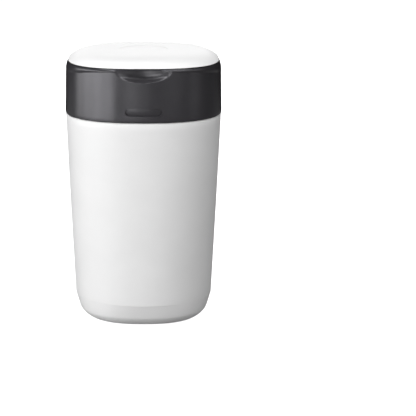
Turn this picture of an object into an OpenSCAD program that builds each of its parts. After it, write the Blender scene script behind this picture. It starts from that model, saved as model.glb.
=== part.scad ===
// Nappy bin: a white tub, a hinged charcoal collar that carries a twisting film cassette, and a
// pillow-topped lid. The front faces -Y, and the origin is on the floor under the bin's middle.
// Plans are rounded squares: a half width and a squareness (2 is a circle, more is squarer).

/* [Overall] */
// Width and depth of the collar at its lower edge, the widest place on the bin
bin_w = 253.4; // [246:0.2:274]
// Height from the floor to the tub's shoulder, where the collar meets it
tub_h = 339; // [300:1:400]
// Height of the collar, from its lower edge to its rim
collar_h = 84.9; // [84:0.1:96]
// Gap of the seam between tub and collar
seam_gap = 0.7; // [0.5:0.1:1.5]

/* [Tub] */
// How far the tub stands inside the collar's lower edge
tub_inset = 0.8; // [0.5:0.1:1.6]
// Width of the tub at the crease above its foot
crease_w = 222.5; // [210:0.5:230]
// Height of that crease
crease_h = 38; // [30:0.1:50]
// Step in from the wall at the crease
crease_step = 0.7; // [0.4:0.1:1.2]
// Outward bow of the wall between crease and shoulder
tub_bow = 0.4; // [0:0.1:3]
// Width of the flat foot
foot_w = 146; // [135:1:180]
// Thickness of the tub's wall
tub_wall = 2.6; // [2:0.1:3.5]
// Height of the hollow under the base, inside the foot
foot_hollow = 3; // [1:0.5:5]
// Width of the foot that rests on the floor
foot_rim = 9; // [6:0.5:14]
// Height of the spigot that stands up inside the collar
spigot_h = 9; // [6:0.5:9.5]
// Thickness of the spigot
spigot_wall = 2.4; // [2:0.1:3]

/* [Collar] */
// Thickness of the collar's wall
collar_wall = 2.8; // [2.2:0.1:3.2]
// How much narrower the collar is at the top, on each side
collar_taper = 1; // [0:0.1:2]
// Width of the soft shoulder that rounds the collar's side into its rim
shoulder_w = 6.2; // [5.4:0.1:7]
// Height of that shoulder
shoulder_h = 15.4; // [12:0.2:18]
// Width of the flat rim inside the shoulder
rim_flat = 1; // [0.8:0.1:1.6]
// Depth from the rim to the ledge that the deck lies on
ledge_drop = 7.4; // [7:0.1:9]
// Thickness of the ledge
ledge_t = 2.5; // [2:0.1:3]
// Width of the finger scoop at the rim
scoop_w = 89; // [70:1:96]
// Height of the finger scoop below the rim
scoop_h = 20.5; // [18:0.5:26]
// Depth of the finger scoop into the collar
scoop_depth = 12.5; // [10:0.5:13]
// Thickness of the scoop's bowl
scoop_wall = 2.4; // [2:0.1:3]

/* [Lid] */
// Rise of the lid's pillow above its own edge
lid_rise = 14.3; // [12:0.1:20]
// How far the lid's edge reaches out over the shoulder
lid_over = 2.1; // [1.5:0.1:2.6]
// Gap between the collar's rim and the lid's edge
lid_gap = 0.6; // [0.5:0.1:1]
// Thickness of the lid shell
lid_wall = 2.4; // [2:0.1:3]
// Diameter of the shallow round dish in the lid's top
dish_d = 78; // [60:1:90]
// Depth of the dish
dish_depth = 0.8; // [0.5:0.1:1.2]
// Thickness of the lid's inner panel
liner_t = 2.2; // [2:0.1:2.6]

/* [Cassette] */
// Space from the collar's outside to the cassette's body, on each side
cassette_room = 32.2; // [30.7:0.1:34.7]
// How far the cassette's flange stands out past its body
flange_reach = 8; // [6.5:0.25:9.5]
// Width of the film's space, from the inner sleeve to the outside of the body
film_w = 28; // [25.5:0.5:32.5]
// Height from the cassette's underside to the top of its flange
cassette_h = 72; // [66:0.5:74]
// Height of the flange band
flange_h = 13; // [10:0.5:15]
// How far the sleeve stands above the flange
sleeve_rise = 8; // [6:0.5:9]
// Thickness of the cassette's walls
cassette_wall = 2; // [1.6:0.1:2.4]
// Number of key flutes round the cassette
flutes = 8; // [6:2:12]

/* [Twist ring] */
// Thickness of the ring's drum
drum_wall = 2.6; // [2:0.1:3]
// Thickness of the ring's rim
rim_wall = 3.4; // [3:0.1:4]
// Number of click teeth
teeth = 36; // [24:12:48]
// Depth of a click tooth
tooth_depth = 2; // [1.5:0.1:2.2]
// Number of finger tabs on the rim
tabs = 6; // [4:1:8]
// Height of a finger tab
tab_h = 3.4; // [2:0.1:3.6]

/* [Grip and cutter] */
// Number of soft fingers that hold the film
fingers = 8; // [6:1:10]
// Length of a soft finger
finger_l = 34; // [25:1:38]
// Downward slope of a soft finger, in degrees
finger_slope = 24; // [15:1:35]
// Thickness of the soft fingers
finger_t = 1.6; // [1.2:0.1:2]
// Width of the cutter's guard
guard_w = 36; // [30:1:44]
// Height of the cutter's guard
guard_h = 9; // [8:0.5:12]
// Thickness of the cutter's blade
blade_t = 0.6; // [0.4:0.1:1]

/* [Hinges and catch] */
// Radius of the collar hinge's barrel
barrel_r = 5.5; // [5:0.1:5.8]
// Radius of the collar hinge's pin
pin_r = 2.5; // [2:0.1:3]
// Radius of the lid hinge's barrel
lid_barrel_r = 4.2; // [4:0.1:4.5]
// Radius of the lid hinge's pin
lid_pin_r = 1.8; // [1.5:0.1:2.2]
// Width of the hinges' middle barrels
mid_barrel_w = 40; // [30:1:44]
// Width of each of the hinges' outer barrels
end_barrel_w = 22; // [16:1:23]
// Width of the pill-shaped catch button
pill_w = 58; // [50:1:70]
// Height of the catch button
pill_h = 12; // [10:0.5:13]
// Height of the button's middle above the collar's lower edge
pill_rise = 17; // [16:0.5:22]
// How far the button's face lies behind the collar's
pill_sink = 1; // [0.6:0.1:1.4]
// How far the button goes in
press = 3; // [2.6:0.1:3]

/* [Clearances] */
// Clearance between a pin and the bore that turns on it
pin_fit = 0.05; // [0.02:0.01:0.1]
// Clearance between parts that slide or turn past each other
run_gap = 0.5; // [0.4:0.05:0.7]
// Clearance between parts that stay put
seat_gap = 0.4; // [0.2:0.05:0.5]

/* [Hidden] */
$fn = 96;
over = 1; // how far a cut runs past a face

// Squareness of the plans
sq_shoulder = 2.34;
sq_crease = 2.11;
sq_foot = 2.5;
sq_lid = 2.73;
plan_segs = 72;
pillow_power = 7.4;

// Colours
white = "#f4f4f2";
charcoal = "#3c3c40";
black = "#242427";
steel = "#b9bcc0";
film_blue = "#b9d3dc";
grey = "#9a9ca0";

// Heights
seam_z = tub_h + seam_gap;
rim_z = seam_z + collar_h;
ledge_z = rim_z - ledge_drop;
lid_edge_z = rim_z + lid_gap;
deck_t = ledge_t - 0.2;
deck_top = ledge_z + deck_t;
deck_lip_z = deck_top + 0.7;
liner_z = rim_z - 2.4;
lid_lift = 0.4; // height of the lid's edge before the pillow starts
sleeve_top = deck_lip_z - 1;
flange_top = sleeve_top - sleeve_rise;
flange_z = flange_top - flange_h;
cassette_z = flange_top - cassette_h;
plate_t = 2;
plate_z = flange_z - plate_t;
shelf_t = 2.6;
shelf_z = plate_z - seat_gap - shelf_t;
floor_t = 2.5;
floor_z = cassette_z - 1 - floor_t;
clamp_t = 2.2;
clamp_z = floor_z - finger_t - clamp_t;

// Half widths and radii, from the outside in
cassette_d = bin_w - 2 * cassette_room;
flange_d = cassette_d + 2 * flange_reach;
sleeve_d = cassette_d - 2 * film_w;
collar_a = bin_w / 2;
collar_top_a = collar_a - collar_taper;
collar_in = collar_a - collar_wall;
rim_a = collar_top_a - shoulder_w;
lid_a = rim_a + lid_over;
lip_in = rim_a - rim_flat;
ledge_a = lip_in - 5.3;
deck_a = lip_in - seat_gap;
skirt_a = lip_in - 1.4;
lid_rib_h = lid_rise * (1 - pow(skirt_a / lid_a, pillow_power)) - 0.1;
tub_a = collar_a - tub_inset;
spigot_a = collar_in - 2 * seat_gap + 0.2;
spigot_in = spigot_a - spigot_wall;
rim_in = flange_d / 2 + 2 * seat_gap;
rim_r = rim_in + rim_wall;
tube_in = rim_r + run_gap;
tube_r = tube_in + 2.4;
root_r = tube_in + 2;
tooth_r = root_r + tooth_depth;
drum_in = cassette_d / 2 + 2.5;
drum_r = drum_in + drum_wall;
well_in = drum_r + run_gap;
well_wall = 2.6;
well_r = well_in + well_wall;
flange_r = tooth_r + 7.5;
mouth_r = sleeve_d / 2 + 3.5;

tab_w = 22;

// Screws on the diagonals
screw_r = 1.7;
screw_l = 9;
deck_head = 1.2;
well_head = 2.4;
boss_r = 5;
boss_at = ledge_a + 10.2;

// Small screws under the well's floor
small_r = 1.4;
small_head = 1.8;
grip_w = 12;

// How deep the cuts through a wall run
cut_deep = 20;
scoop_back = 30;

// Collar hinge: its axis is level with the seam
hinge_y = collar_a - barrel_r - 1.4;
hinge_z = seam_z;
gap_x = 0.6;
hinge_end = mid_barrel_w / 2 + gap_x + end_barrel_w;
end_x = hinge_end - end_barrel_w / 2; // middle of an outer barrel
notch_x = hinge_end + 8;
pocket_wall = 2.6;
pocket_y = hinge_y - barrel_r - 2.5;
pocket_z = hinge_z - barrel_r - 1.3 - pocket_wall;

// Lid hinge: its axis is just under the lid's edge
lid_hinge_y = lid_a - 1.7;
lid_hinge_z = rim_z - 2.4;
lid_notch_x = hinge_end + 1.6;
lid_cut_r = lid_barrel_r + 0.6;

// Scoop: a circle arc turned about a line in front of the collar
scoop_r = (scoop_h * scoop_h + scoop_depth * scoop_depth) / (2 * scoop_depth);
scoop_sag = scoop_depth - collar_top_a + plan_y(scoop_w / 2, lid_a, sq_lid);
scoop_arc = (scoop_w * scoop_w / 4 + scoop_sag * scoop_sag) / (2 * scoop_sag);
scoop_y = -(collar_top_a + scoop_r - scoop_depth);

// Catch
pill_z = seam_z + pill_rise;
hook_z = seam_z + 2.2;
hook_t = 3.6;
hook_w = 20;
hook_hold = press - 1; // the button goes 1 mm further than the hook holds
window_gap = 0.8;
keeper_t = 1.6;
keeper_y = -(collar_in - 2.6);
arm_y = keeper_y + keeper_t;
arm_t = 3;
spring_r = 4;
spring_wire = 0.8;
spring_turns = 6;
spring_z = seam_z + 12;
pad_y = -(well_r + 2);

// Pawl: its pin stands on the well's shelf, outside the teeth
pawl_at = [tooth_r + 4.2, -24, 0];
pawl_hub = 3.6;
pawl_pin_r = 1.6;
pawl_t = plate_t;

// Cutter
cutter_at = [0, mouth_r + grip_w + 0.5 + guard_h, 0];
cutter_slot = 3;
cutter_ear = 3.4;

module tub() {
    color(white) {
        difference() {
            union() {
                loft(tub_rings());
                intersection() {
                    translate([0, 0, pocket_z])
                        plan_plate(spigot_in + 0.5, sq_shoulder, tub_h + spigot_h - pocket_z);
                    pocket_block(pocket_y - pocket_wall, notch_x + pocket_wall, pocket_z, tub_h + spigot_h);
                }
            }
            pocket_block(pocket_y, notch_x, pocket_z + pocket_wall, tub_h + spigot_h + over);
            translate([-hook_w / 2 - window_gap, -collar_a, hook_z - window_gap])
                cube([hook_w + 2 * window_gap, cut_deep, hook_t + 2 * window_gap]);
        }
        for (side = [-1, 1])
            difference() {
                union() {
                    x_rod(side * end_x, hinge_y, hinge_z, barrel_r, end_barrel_w);
                    translate([side * end_x - end_barrel_w / 2, pocket_y + 4.5, pocket_z + 1])
                        cube([end_barrel_w, 4, hinge_z - pocket_z - 1]);
                }
                x_rod(side * end_x, hinge_y, hinge_z, pin_r + pin_fit, end_barrel_w + 2 * over);
            }
    }
}

module collar_hinge_pin() {
    color(steel) x_rod(0, hinge_y, hinge_z, pin_r, 2 * hinge_end + 1);
}

module collar() {
    color(charcoal) {
        difference() {
            union() {
                loop_loft(collar_rings());
                intersection() {
                    scoop_body(scoop_wall);
                    loft(collar_outside());
                    translate([-collar_a, -collar_a, ledge_z - scoop_back])
                        cube([bin_w, scoop_back, deck_top - ledge_z + scoop_back]);
                }
                diagonal() cylinder(r = boss_r, h = ledge_z - 1 - shelf_z - shelf_t);
            }
            scoop_body(0);
            diagonal(-over) cylinder(r = screw_r + 0.05, h = ledge_z + 2 * over - shelf_z);
            pill(pill_w, pill_h, collar_a + over, collar_in - 8);
            rear_block(notch_x, cut_deep, seam_z - over, seam_z + barrel_r + 2.4);
            rear_block(lid_notch_x, cut_deep, ledge_z, rim_z + over);
        }
        difference() {
            union() {
                x_rod(0, hinge_y, hinge_z, barrel_r, mid_barrel_w);
                translate([-mid_barrel_w / 2, hinge_y - 0.5, hinge_z])
                    cube([mid_barrel_w, 5, barrel_r + 4]);
            }
            x_rod(0, hinge_y, hinge_z, pin_r + pin_fit, mid_barrel_w + 2 * over);
        }
        for (side = [-1, 1])
            difference() {
                union() {
                    x_rod(side * end_x, lid_hinge_y, lid_hinge_z, lid_barrel_r, end_barrel_w);
                    translate([side * end_x - end_barrel_w / 2, lid_hinge_y - 1, ledge_z - 1])
                        cube([end_barrel_w, 3.4, lid_hinge_z - ledge_z + 1]);
                }
                x_rod(side * end_x, lid_hinge_y, lid_hinge_z, lid_pin_r + pin_fit,
                    end_barrel_w + 2 * over);
            }
    }
}

module deck() {
    color(charcoal) difference() {
        union() {
            translate([0, 0, ledge_z]) plan_plate(deck_a, sq_lid, deck_t);
            translate([0, 0, plate_z + plate_t + 2])
                cylinder(r = tube_r, h = deck_lip_z - plate_z - plate_t - 2);
        }
        translate([0, 0, plate_z]) cylinder(r = tube_in, h = rim_z - plate_z);
        scoop_body(scoop_wall + seat_gap);
        x_rod(0, lid_hinge_y, lid_hinge_z, lid_cut_r, 2 * lid_notch_x);
        at_diagonals(ledge_z - over) cylinder(r = screw_r, h = deck_t + 2 * over);
        at_diagonals(deck_top - deck_head) cylinder(r = 2 * screw_r, h = over + deck_head);
    }
}

module deck_screws() {
    color(steel) at_diagonals(deck_top - deck_head) {
        cylinder(r = 2 * screw_r - 0.1, h = deck_head - 0.1);
        translate([0, 0, -screw_l]) cylinder(r = screw_r - 0.05, h = screw_l);
    }
}

module cassette_well() {
    color(charcoal) difference() {
        union() {
            translate([0, 0, floor_z]) tube(well_in, well_r, shelf_z + shelf_t - floor_z);
            translate([0, 0, floor_z]) tube(mouth_r, well_r, floor_t);
            translate([0, 0, shelf_z]) tube(well_in, flange_r, shelf_t);
            difference() {
                for (turn = [45:90:315])
                    rotate([0, 0, turn]) translate([well_r - 2, -boss_r - 1, shelf_z])
                        cube([boss_at - well_r + 2, 2 * boss_r + 2, shelf_t]);
                translate([0, 0, shelf_z - over]) cylinder(r = well_r - over, h = shelf_t + 2 * over);
            }
            at_diagonals(shelf_z) cylinder(r = boss_r + 1, h = shelf_t);
            translate([pawl_at.x, pawl_at.y, shelf_z]) cylinder(r = pawl_hub + 2, h = shelf_t);
            translate([-spring_r - 2, pad_y, spring_z - spring_r - 2])
                cube([2 * spring_r + 4, 6, 2 * spring_r + 4]);
            translate([pawl_at.x - 5.4, pawl_at.y - 15, shelf_z])
                cylinder(r = 1.4, h = shelf_t + seat_gap + plate_t);
        }
        at_diagonals(shelf_z - over) cylinder(r = screw_r + 0.1, h = shelf_t + 2 * over);
        translate([pawl_at.x, pawl_at.y, shelf_z - over]) cylinder(r = pawl_pin_r, h = shelf_t + 2 * over);
        grip_holes(floor_z);
        cutter_holes(floor_z);
        translate([0, 0, floor_z + floor_t]) cylinder(r = well_in, h = shelf_z);
    }
}

module well_screws() {
    color(steel) at_diagonals(shelf_z) {
        cylinder(r = screw_r, h = screw_l);
        translate([0, 0, -well_head]) cylinder(r = 2 * screw_r, h = well_head);
    }
}

module lid_hinge_pin() {
    color(steel) x_rod(0, lid_hinge_y, lid_hinge_z, lid_pin_r, 2 * hinge_end + 1);
}

module grip_fingers() {
    color(black) difference() {
        union() {
            translate([0, 0, floor_z - finger_t]) tube(mouth_r, mouth_r + grip_w, finger_t);
            intersection() {
                for (turn = [0:360 / fingers:359])
                    rotate([0, 0, turn]) finger();
                translate([0, 0, floor_z - finger_l]) cylinder(r = mouth_r + 0.3, h = finger_l);
            }
        }
        grip_holes(floor_z - finger_t);
    }
}

module finger() {
    root_w = 2 * mouth_r * tan(180 / fingers) - 4;
    translate([mouth_r + 0.5, 0, floor_z - finger_t / 2]) rotate([0, -finger_slope, 0])
        translate([0, 0, -finger_t / 2]) linear_extrude(finger_t)
            polygon([[1, -root_w / 2], [1, root_w / 2], [-finger_l * 0.7, root_w / 3.4],
                [-finger_l, root_w / 7], [-finger_l, -root_w / 7], [-finger_l * 0.7, -root_w / 3.4]]);
}

module grip_clamp() {
    color(charcoal) difference() {
        translate([0, 0, clamp_z]) tube(mouth_r + 3, mouth_r + grip_w, clamp_t);
        grip_holes(clamp_z);
    }
}

module grip_screws() {
    color(steel) for (turn = [22.5:60:359])
        rotate([0, 0, turn]) translate([mouth_r + grip_w - 4.5, 0, clamp_z]) {
            cylinder(r = small_r, h = finger_t + clamp_t + 2);
            translate([0, 0, -small_head]) cylinder(r = 2 * small_r, h = small_head);
        }
}

module cutter_guard() {
    color(charcoal) translate(cutter_at) difference() {
        translate([-guard_w / 2, -guard_h, floor_z - guard_h]) cube([guard_w, 2 * guard_h - 2, guard_h]);
        translate([-guard_w / 2 + 6, -cutter_slot / 2, floor_z - guard_h - over])
            cube([guard_w, cutter_slot, guard_h - 1]);
        translate([-blade_l() / 2, -guard_h - over, floor_z - 4]) cube([blade_l(), guard_h, blade_t + 0.1]);
        for (side = [-1, 1])
            translate([side * (guard_w / 2 - cutter_ear), guard_h / 2, floor_z - guard_h - over])
                cylinder(r = small_r, h = guard_h + 2 * over);
    }
}

module cutter_blade() {
    color(steel) translate([cutter_at.x, cutter_at.y, floor_z - 4 + 0.05]) linear_extrude(blade_t)
        polygon([[-blade_l() / 2 + 0.1, -guard_h + 1], [blade_l() / 2 - 0.1, -guard_h + 1],
            [blade_l() / 2 - 0.1, -2], [0, 1 - guard_h / 2], [-blade_l() / 2 + 0.1, -2]]);
}

module cutter_screws() {
    color(steel) for (side = [-1, 1])
        translate([side * (guard_w / 2 - cutter_ear), cutter_at.y + guard_h / 2, floor_z - guard_h]) {
            cylinder(r = small_r - 0.05, h = guard_h + 2);
            translate([0, 0, -small_head]) cylinder(r = 2 * small_r, h = small_head);
        }
}

module lid_shell() {
    color(white) difference() {
        union() {
            difference() {
                union() {
                    loft(lid_rings());
                    difference() {
                        translate([0, 0, lid_edge_z]) plan_plate(skirt_a, sq_lid, lid_rib_h);
                        translate([0, 0, lid_edge_z - over])
                            plan_plate(skirt_a - 2.2, sq_lid, lid_rib_h + 2 * over);
                    }
                }
                translate([0, 0, lid_edge_z + lid_lift + lid_rise - dish_depth])
                    cylinder(r1 = dish_d / 2 - dish_depth, r2 = dish_d / 2, h = dish_depth + 0.01);
                for (side = [-1, 1])
                    x_rod(side * end_x, lid_hinge_y, lid_hinge_z, lid_cut_r,
                        end_barrel_w + 2 * gap_x);
            }
            x_rod(0, lid_hinge_y, lid_hinge_z, lid_barrel_r, mid_barrel_w - 2 * gap_x);
            translate([-mid_barrel_w / 2 + gap_x, lid_hinge_y - 3, lid_hinge_z])
                cube([mid_barrel_w - 2 * gap_x, 4, 4]);
        }
        x_rod(0, lid_hinge_y, lid_hinge_z, lid_pin_r + pin_fit, mid_barrel_w + 2 * over);
    }
}

module lid_liner() {
    color(charcoal) difference() {
        union() {
            translate([0, 0, liner_z]) plan_plate(skirt_a, sq_lid, liner_t);
            difference() {
                translate([0, 0, liner_z]) plan_plate(skirt_a, sq_lid, lid_edge_z - liner_z);
                translate([0, 0, liner_z - over]) plan_plate(skirt_a - 3, sq_lid, 8);
            }
        }
        translate([0, 0, liner_z - over]) tube(seal_r() - 1.2, seal_r() + 1.2, over + liner_t - 1);
        x_rod(0, lid_hinge_y, lid_hinge_z, lid_cut_r + 0.4, 2 * lid_notch_x);
    }
}

module lid_seal() {
    color(black) translate([0, 0, deck_lip_z + 0.3])
        tube(seal_r() - 1.1, seal_r() + 1.1, liner_z + liner_t - 1.05 - deck_lip_z - 0.3);
}

module twist_ring() {
    color(charcoal) {
        difference() {
            union() {
                translate([0, 0, floor_z + floor_t + 1.5])
                    tube(drum_in, drum_r, plate_z - floor_z - floor_t - 1);
                translate([0, 0, plate_z]) tube(drum_in, root_r, plate_t);
                translate([0, 0, plate_z]) tube(rim_in, rim_r, ledge_z + 0.6 - plate_z);
                translate([0, 0, plate_z]) linear_extrude(plate_t) for (k = [0:teeth - 1])
                    rotate([0, 0, k * 360 / teeth]) click_tooth();
            }
            for (k = [0:flutes - 1])
                rotate([0, 0, (k + 0.5) * 360 / flutes]) translate([drum_in - 4, -9, floor_z + floor_t + 10])
                    cube([10, 18, plate_z - floor_z - floor_t - 18]);
        }
        intersection() {
            translate([0, 0, ledge_z]) tube(rim_in, rim_r, 0.6 + tab_h);
            for (turn = [0:360 / tabs:359])
                rotate([0, 0, turn]) translate([rim_in - 2, -tab_w / 2, ledge_z])
                    cube([rim_wall + 4, tab_w, 0.6 + tab_h]);
        }
        for (k = [0:flutes - 1])
            rotate([0, 0, k * 360 / flutes]) translate([cassette_d / 2 - 0.8, -2, plate_z - 22])
                cube([drum_in - cassette_d / 2 + 1.8, 4, 22]);
    }
}

module click_tooth() {
    pitch = 360 / teeth;
    polygon([polar(root_r - 1, 0), polar(tooth_r, pitch * 0.12), polar(tooth_r, pitch * 0.28),
        polar(root_r - 1, pitch * 0.7)]);
}

module cassette_body() {
    color(black) difference() {
        translate([0, 0, cassette_z]) rotate_extrude() polygon([
            [sleeve_d / 2, 0], [cassette_d / 2 - 1.5, 0], [cassette_d / 2, 2],
            [cassette_d / 2, cassette_h - flange_h], [flange_d / 2 - 3, cassette_h - flange_h],
            [flange_d / 2 - 3, cassette_h - flange_h + 2],
            [cassette_d / 2 - cassette_wall, cassette_h - flange_h + 2],
            [cassette_d / 2 - cassette_wall, cassette_wall], [sleeve_d / 2, cassette_wall]]);
        for (k = [0:flutes - 1])
            rotate([0, 0, k * 360 / flutes]) translate([cassette_d / 2 - 1.1, -2.4, cassette_z - over])
                cube([4, 4.8, cassette_h - flange_h + over]);
    }
}

module cassette_sleeve() {
    color(black) translate([0, 0, cassette_z]) rotate_extrude() polygon([
        [sleeve_d / 2 - cassette_wall, 0], [sleeve_d / 2, 0], [sleeve_d / 2, cassette_h + sleeve_rise - 2],
        [sleeve_d / 2 + 1.4, cassette_h + sleeve_rise - 1], [sleeve_d / 2 + 1.4, cassette_h + sleeve_rise],
        [sleeve_d / 2 - cassette_wall, cassette_h + sleeve_rise]]);
}

module cassette_cover() {
    color(black) difference() {
        translate([0, 0, flange_z]) rotate_extrude() polygon([
            [flange_d / 2 - 2.6, 0], [flange_d / 2, 0], [flange_d / 2, flange_h - 1.2],
            [flange_d / 2 - 1.2, flange_h], [cover_in(), flange_h], [cover_in(), flange_h - 4],
            [cover_in() + 1.8, flange_h - 4], [cover_in() + 1.8, flange_h - 2],
            [flange_d / 2 - 2.6, flange_h - 2]]);
        for (k = [0:11])
            rotate([0, 0, k * 30]) translate([flange_d / 2 - 1.6, -5, flange_z + 3]) cube([3, 10, 4]);
    }
}

module film_pack() {
    top = cassette_h - cassette_wall - 3;
    inner = sleeve_d / 2 + 1;
    outer = cover_in() - 0.5;
    color(film_blue) translate([0, 0, cassette_z + cassette_wall]) rotate_extrude() polygon([
        [inner, 0], [outer, 0], [outer, top], [mix(inner, outer, 0.7), top + 2],
        [mix(inner, outer, 0.35), top + 1], [inner, top + 2]]);
}

module latch_button() {
    color(charcoal) {
        intersection() {
            difference() {
                pill(pill_w - 2 * seat_gap, pill_h - 2 * seat_gap, collar_a, -arm_y - 0.5);
                pill(pill_w - 6, pill_h - 6, collar_in, -arm_y - over);
            }
            translate([0, 0, seam_z]) plan_plate(collar_a - 0.2 - pill_sink, sq_shoulder, collar_h);
        }
        difference() {
            pill(pill_w + 3, pill_h + 2.4, -keeper_y, -arm_y);
            pill(pill_w - 6, pill_h - 6, -keeper_y + over, -arm_y + 0.8);
        }
        translate([-hook_w / 2, arm_y - 0.8, hook_z]) cube([hook_w, arm_t + 0.8, pill_z - hook_z]);
        translate([-hook_w / 2, 0, 0]) rotate([90, 0, 90]) linear_extrude(hook_w) polygon([
            [arm_y, hook_z], [-spigot_in - hook_hold + 1, hook_z], [-spigot_in - hook_hold, hook_z + 1.6],
            [-spigot_in - hook_hold, hook_z + hook_t], [arm_y, hook_z + hook_t]]);
    }
}

module latch_spring() {
    color(steel) translate([0, arm_y + arm_t, spring_z]) rotate([-90, 0, 0])
        coil(spring_r, spring_wire, pad_y - arm_y - arm_t, spring_turns);
}

module click_pawl() {
    tip = pawl_tip();
    heel = pawl_at + [-1.5, -14, 0];
    color(grey) difference() {
        translate([0, 0, plate_z]) union() {
            translate([pawl_at.x, pawl_at.y, 0]) cylinder(r = pawl_hub, h = pawl_t);
            linear_extrude(pawl_t) polygon([[pawl_at.x - 2.2, pawl_at.y + 1], tip,
                [tip.x + 2.2, tip.y + 0.2], [pawl_at.x + 2.6, pawl_at.y + 2]]);
            linear_extrude(pawl_t) polygon([[pawl_at.x - 1, pawl_at.y - 2], [heel.x, heel.y],
                [heel.x + 1.2, heel.y], [pawl_at.x + 1, pawl_at.y - 2]]);
        }
        translate([pawl_at.x, pawl_at.y, plate_z - over])
            cylinder(r = pawl_pin_r + pin_fit, h = pawl_t + 2 * over);
    }
}

module pawl_screw() {
    color(steel) translate([pawl_at.x, pawl_at.y, shelf_z]) {
        cylinder(r = pawl_pin_r, h = shelf_t + seat_gap + plate_t + 0.3);
        translate([0, 0, shelf_t + seat_gap + plate_t + 0.3]) cylinder(r = 2 * pawl_pin_r, h = 1.2);
    }
}

// Points and rings of the rounded-square plans
function polar(r, turn) = [r * cos(turn), r * sin(turn)];
function plan_reach(a, sq, turn) = a / pow(pow(abs(cos(turn)), sq) + pow(abs(sin(turn)), sq), 1 / sq);
function plan_points(a, sq) = [for (k = [0:plan_segs - 1])
    let (turn = k * 360 / plan_segs) polar(plan_reach(a, sq, turn), turn)];
function plan_ring(r) = [for (p = plan_points(r[0], r[1])) [p.x, p.y, r[2]]];
function plan_y(x, a, sq) = a * pow(1 - pow(x / a, sq), 1 / sq);
function mix(a, b, t) = a + (b - a) * t;

// Lengths that more than one module needs
function blade_l() = guard_w - 14;
function seal_r() = (tube_in + tube_r) / 2;
function cover_in() = cassette_d / 2 - cassette_wall - 1.5;
function pawl_tip() = polar(tooth_r - 0.5, -360 / teeth * 0.1);

// Rings are [half width, squareness, height]
function wall_ring(t, inset) = [mix(crease_w / 2, tub_a, t) + 4 * tub_bow * t * (1 - t) - inset,
    mix(sq_crease, sq_shoulder, t), mix(crease_h, tub_h, t)];
function tub_rings() = concat(
    [[foot_w / 2 - foot_rim, sq_foot, foot_hollow], [foot_w / 2 - foot_rim, sq_foot, 0],
        [foot_w / 2, sq_foot, 0]],
    [for (t = [11.25:11.25:90]) foot_ring(t, foot_w / 2, crease_w / 2 - crease_step, 0, crease_h - 1)],
    [for (t = [0:0.2:1]) wall_ring(t, 0)],
    [[spigot_a, sq_shoulder, tub_h + 0.01], [spigot_a, sq_shoulder, tub_h + spigot_h],
        [spigot_in, sq_shoulder, tub_h + spigot_h], [spigot_in, sq_shoulder, tub_h - 6]],
    [for (t = [0.95, 0.75, 0.5, 0.25, 0]) wall_ring(t, tub_wall)],
    [for (t = [80, 60, 40, 20, 0]) foot_ring(t, foot_w / 2 - foot_rim, crease_w / 2 - tub_wall,
        foot_hollow + tub_wall, crease_h)]);
function foot_ring(turn, a_low, a_high, z_low, z_high) = [mix(a_low, a_high, sin(turn)),
    mix(sq_foot, sq_crease, turn / 90), mix(z_low, z_high, 1 - cos(turn))];
function collar_outside() = concat(
    [[collar_a - 0.9, sq_shoulder, seam_z], [collar_a - 0.2, sq_shoulder, seam_z + 0.4],
        [collar_a, sq_shoulder, seam_z + 1.2]],
    [for (t = [0:15:90]) [rim_a + shoulder_w * cos(t), mix(sq_shoulder, sq_lid, t / 90),
        rim_z - shoulder_h + shoulder_h * sin(t)]]);
function collar_rings() = concat(collar_outside(),
    [[lip_in, sq_lid, rim_z], [lip_in, sq_lid, ledge_z], [ledge_a, sq_lid, ledge_z],
        [ledge_a, sq_lid, ledge_z - ledge_t], [collar_in - collar_taper, sq_shoulder, ledge_z - ledge_t],
        [collar_in, sq_shoulder, seam_z]]);
function pillow(share, z) = [lid_a * share, sq_lid, z + lid_rise * (1 - pow(share, pillow_power))];
function lid_rings() = concat(
    [for (s = [0.3, 0.55, 0.7, 0.8, 0.86, 0.91, 0.95]) pillow(s, lid_edge_z + lid_lift - lid_wall)],
    [[lid_a * pow(1 - (lid_wall - lid_lift) / lid_rise, 1 / pillow_power), sq_lid, lid_edge_z],
        [lid_a, sq_lid, lid_edge_z]],
    [for (s = [1, 0.98, 0.95, 0.91, 0.86, 0.8, 0.7, 0.55]) pillow(s, lid_edge_z + lid_lift)],
    [for (r = [dish_d / 2 + 4, dish_d / 2 - 4]) [r, sq_lid, lid_edge_z + lid_lift + lid_rise]]);

module loft(rings) {
    points = [for (r = rings) each plan_ring(r)];
    last = (len(rings) - 1) * plan_segs;
    polyhedron(points, concat(
        [for (i = [0:len(rings) - 2], k = [0:plan_segs - 1])
            each band(i * plan_segs, (i + 1) * plan_segs, k)],
        [[for (k = [0:plan_segs - 1]) k]], [[for (k = [plan_segs - 1:-1:0]) last + k]]));
}

module loop_loft(rings) {
    points = [for (r = rings) each plan_ring(r)];
    polyhedron(points, [for (i = [0:len(rings) - 1], k = [0:plan_segs - 1])
        each band(i * plan_segs, ((i + 1) % len(rings)) * plan_segs, k)]);
}

function band(low, high, k) = let (j = (k + 1) % plan_segs)
    [[low + k, high + k, low + j], [low + j, high + k, high + j]];

module plan_plate(a, sq, h) {
    linear_extrude(h) polygon(plan_points(a, sq));
}

module tube(r_in, r_out, h) {
    rotate_extrude() translate([r_in, 0]) square([r_out - r_in, h]);
}

module x_rod(x, y, z, r, w) {
    translate([x - w / 2, y, z]) rotate([0, 90, 0]) cylinder(r = r, h = w);
}

module rear_block(x, deep, z_low, z_high) {
    translate([-x, lid_hinge_y - 10, z_low]) cube([2 * x, deep + 10, z_high - z_low]);
}

module pocket_block(y, x, z_low, z_high) {
    translate([-x, y, z_low]) cube([2 * x, collar_a, z_high - z_low]);
}

module at_diagonals(z) {
    for (turn = [45:90:315])
        rotate([0, 0, turn]) translate([boss_at, 0, z]) children();
}

module diagonal(lower = 0) {
    at_diagonals(shelf_z + shelf_t + lower) children();
}

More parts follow.
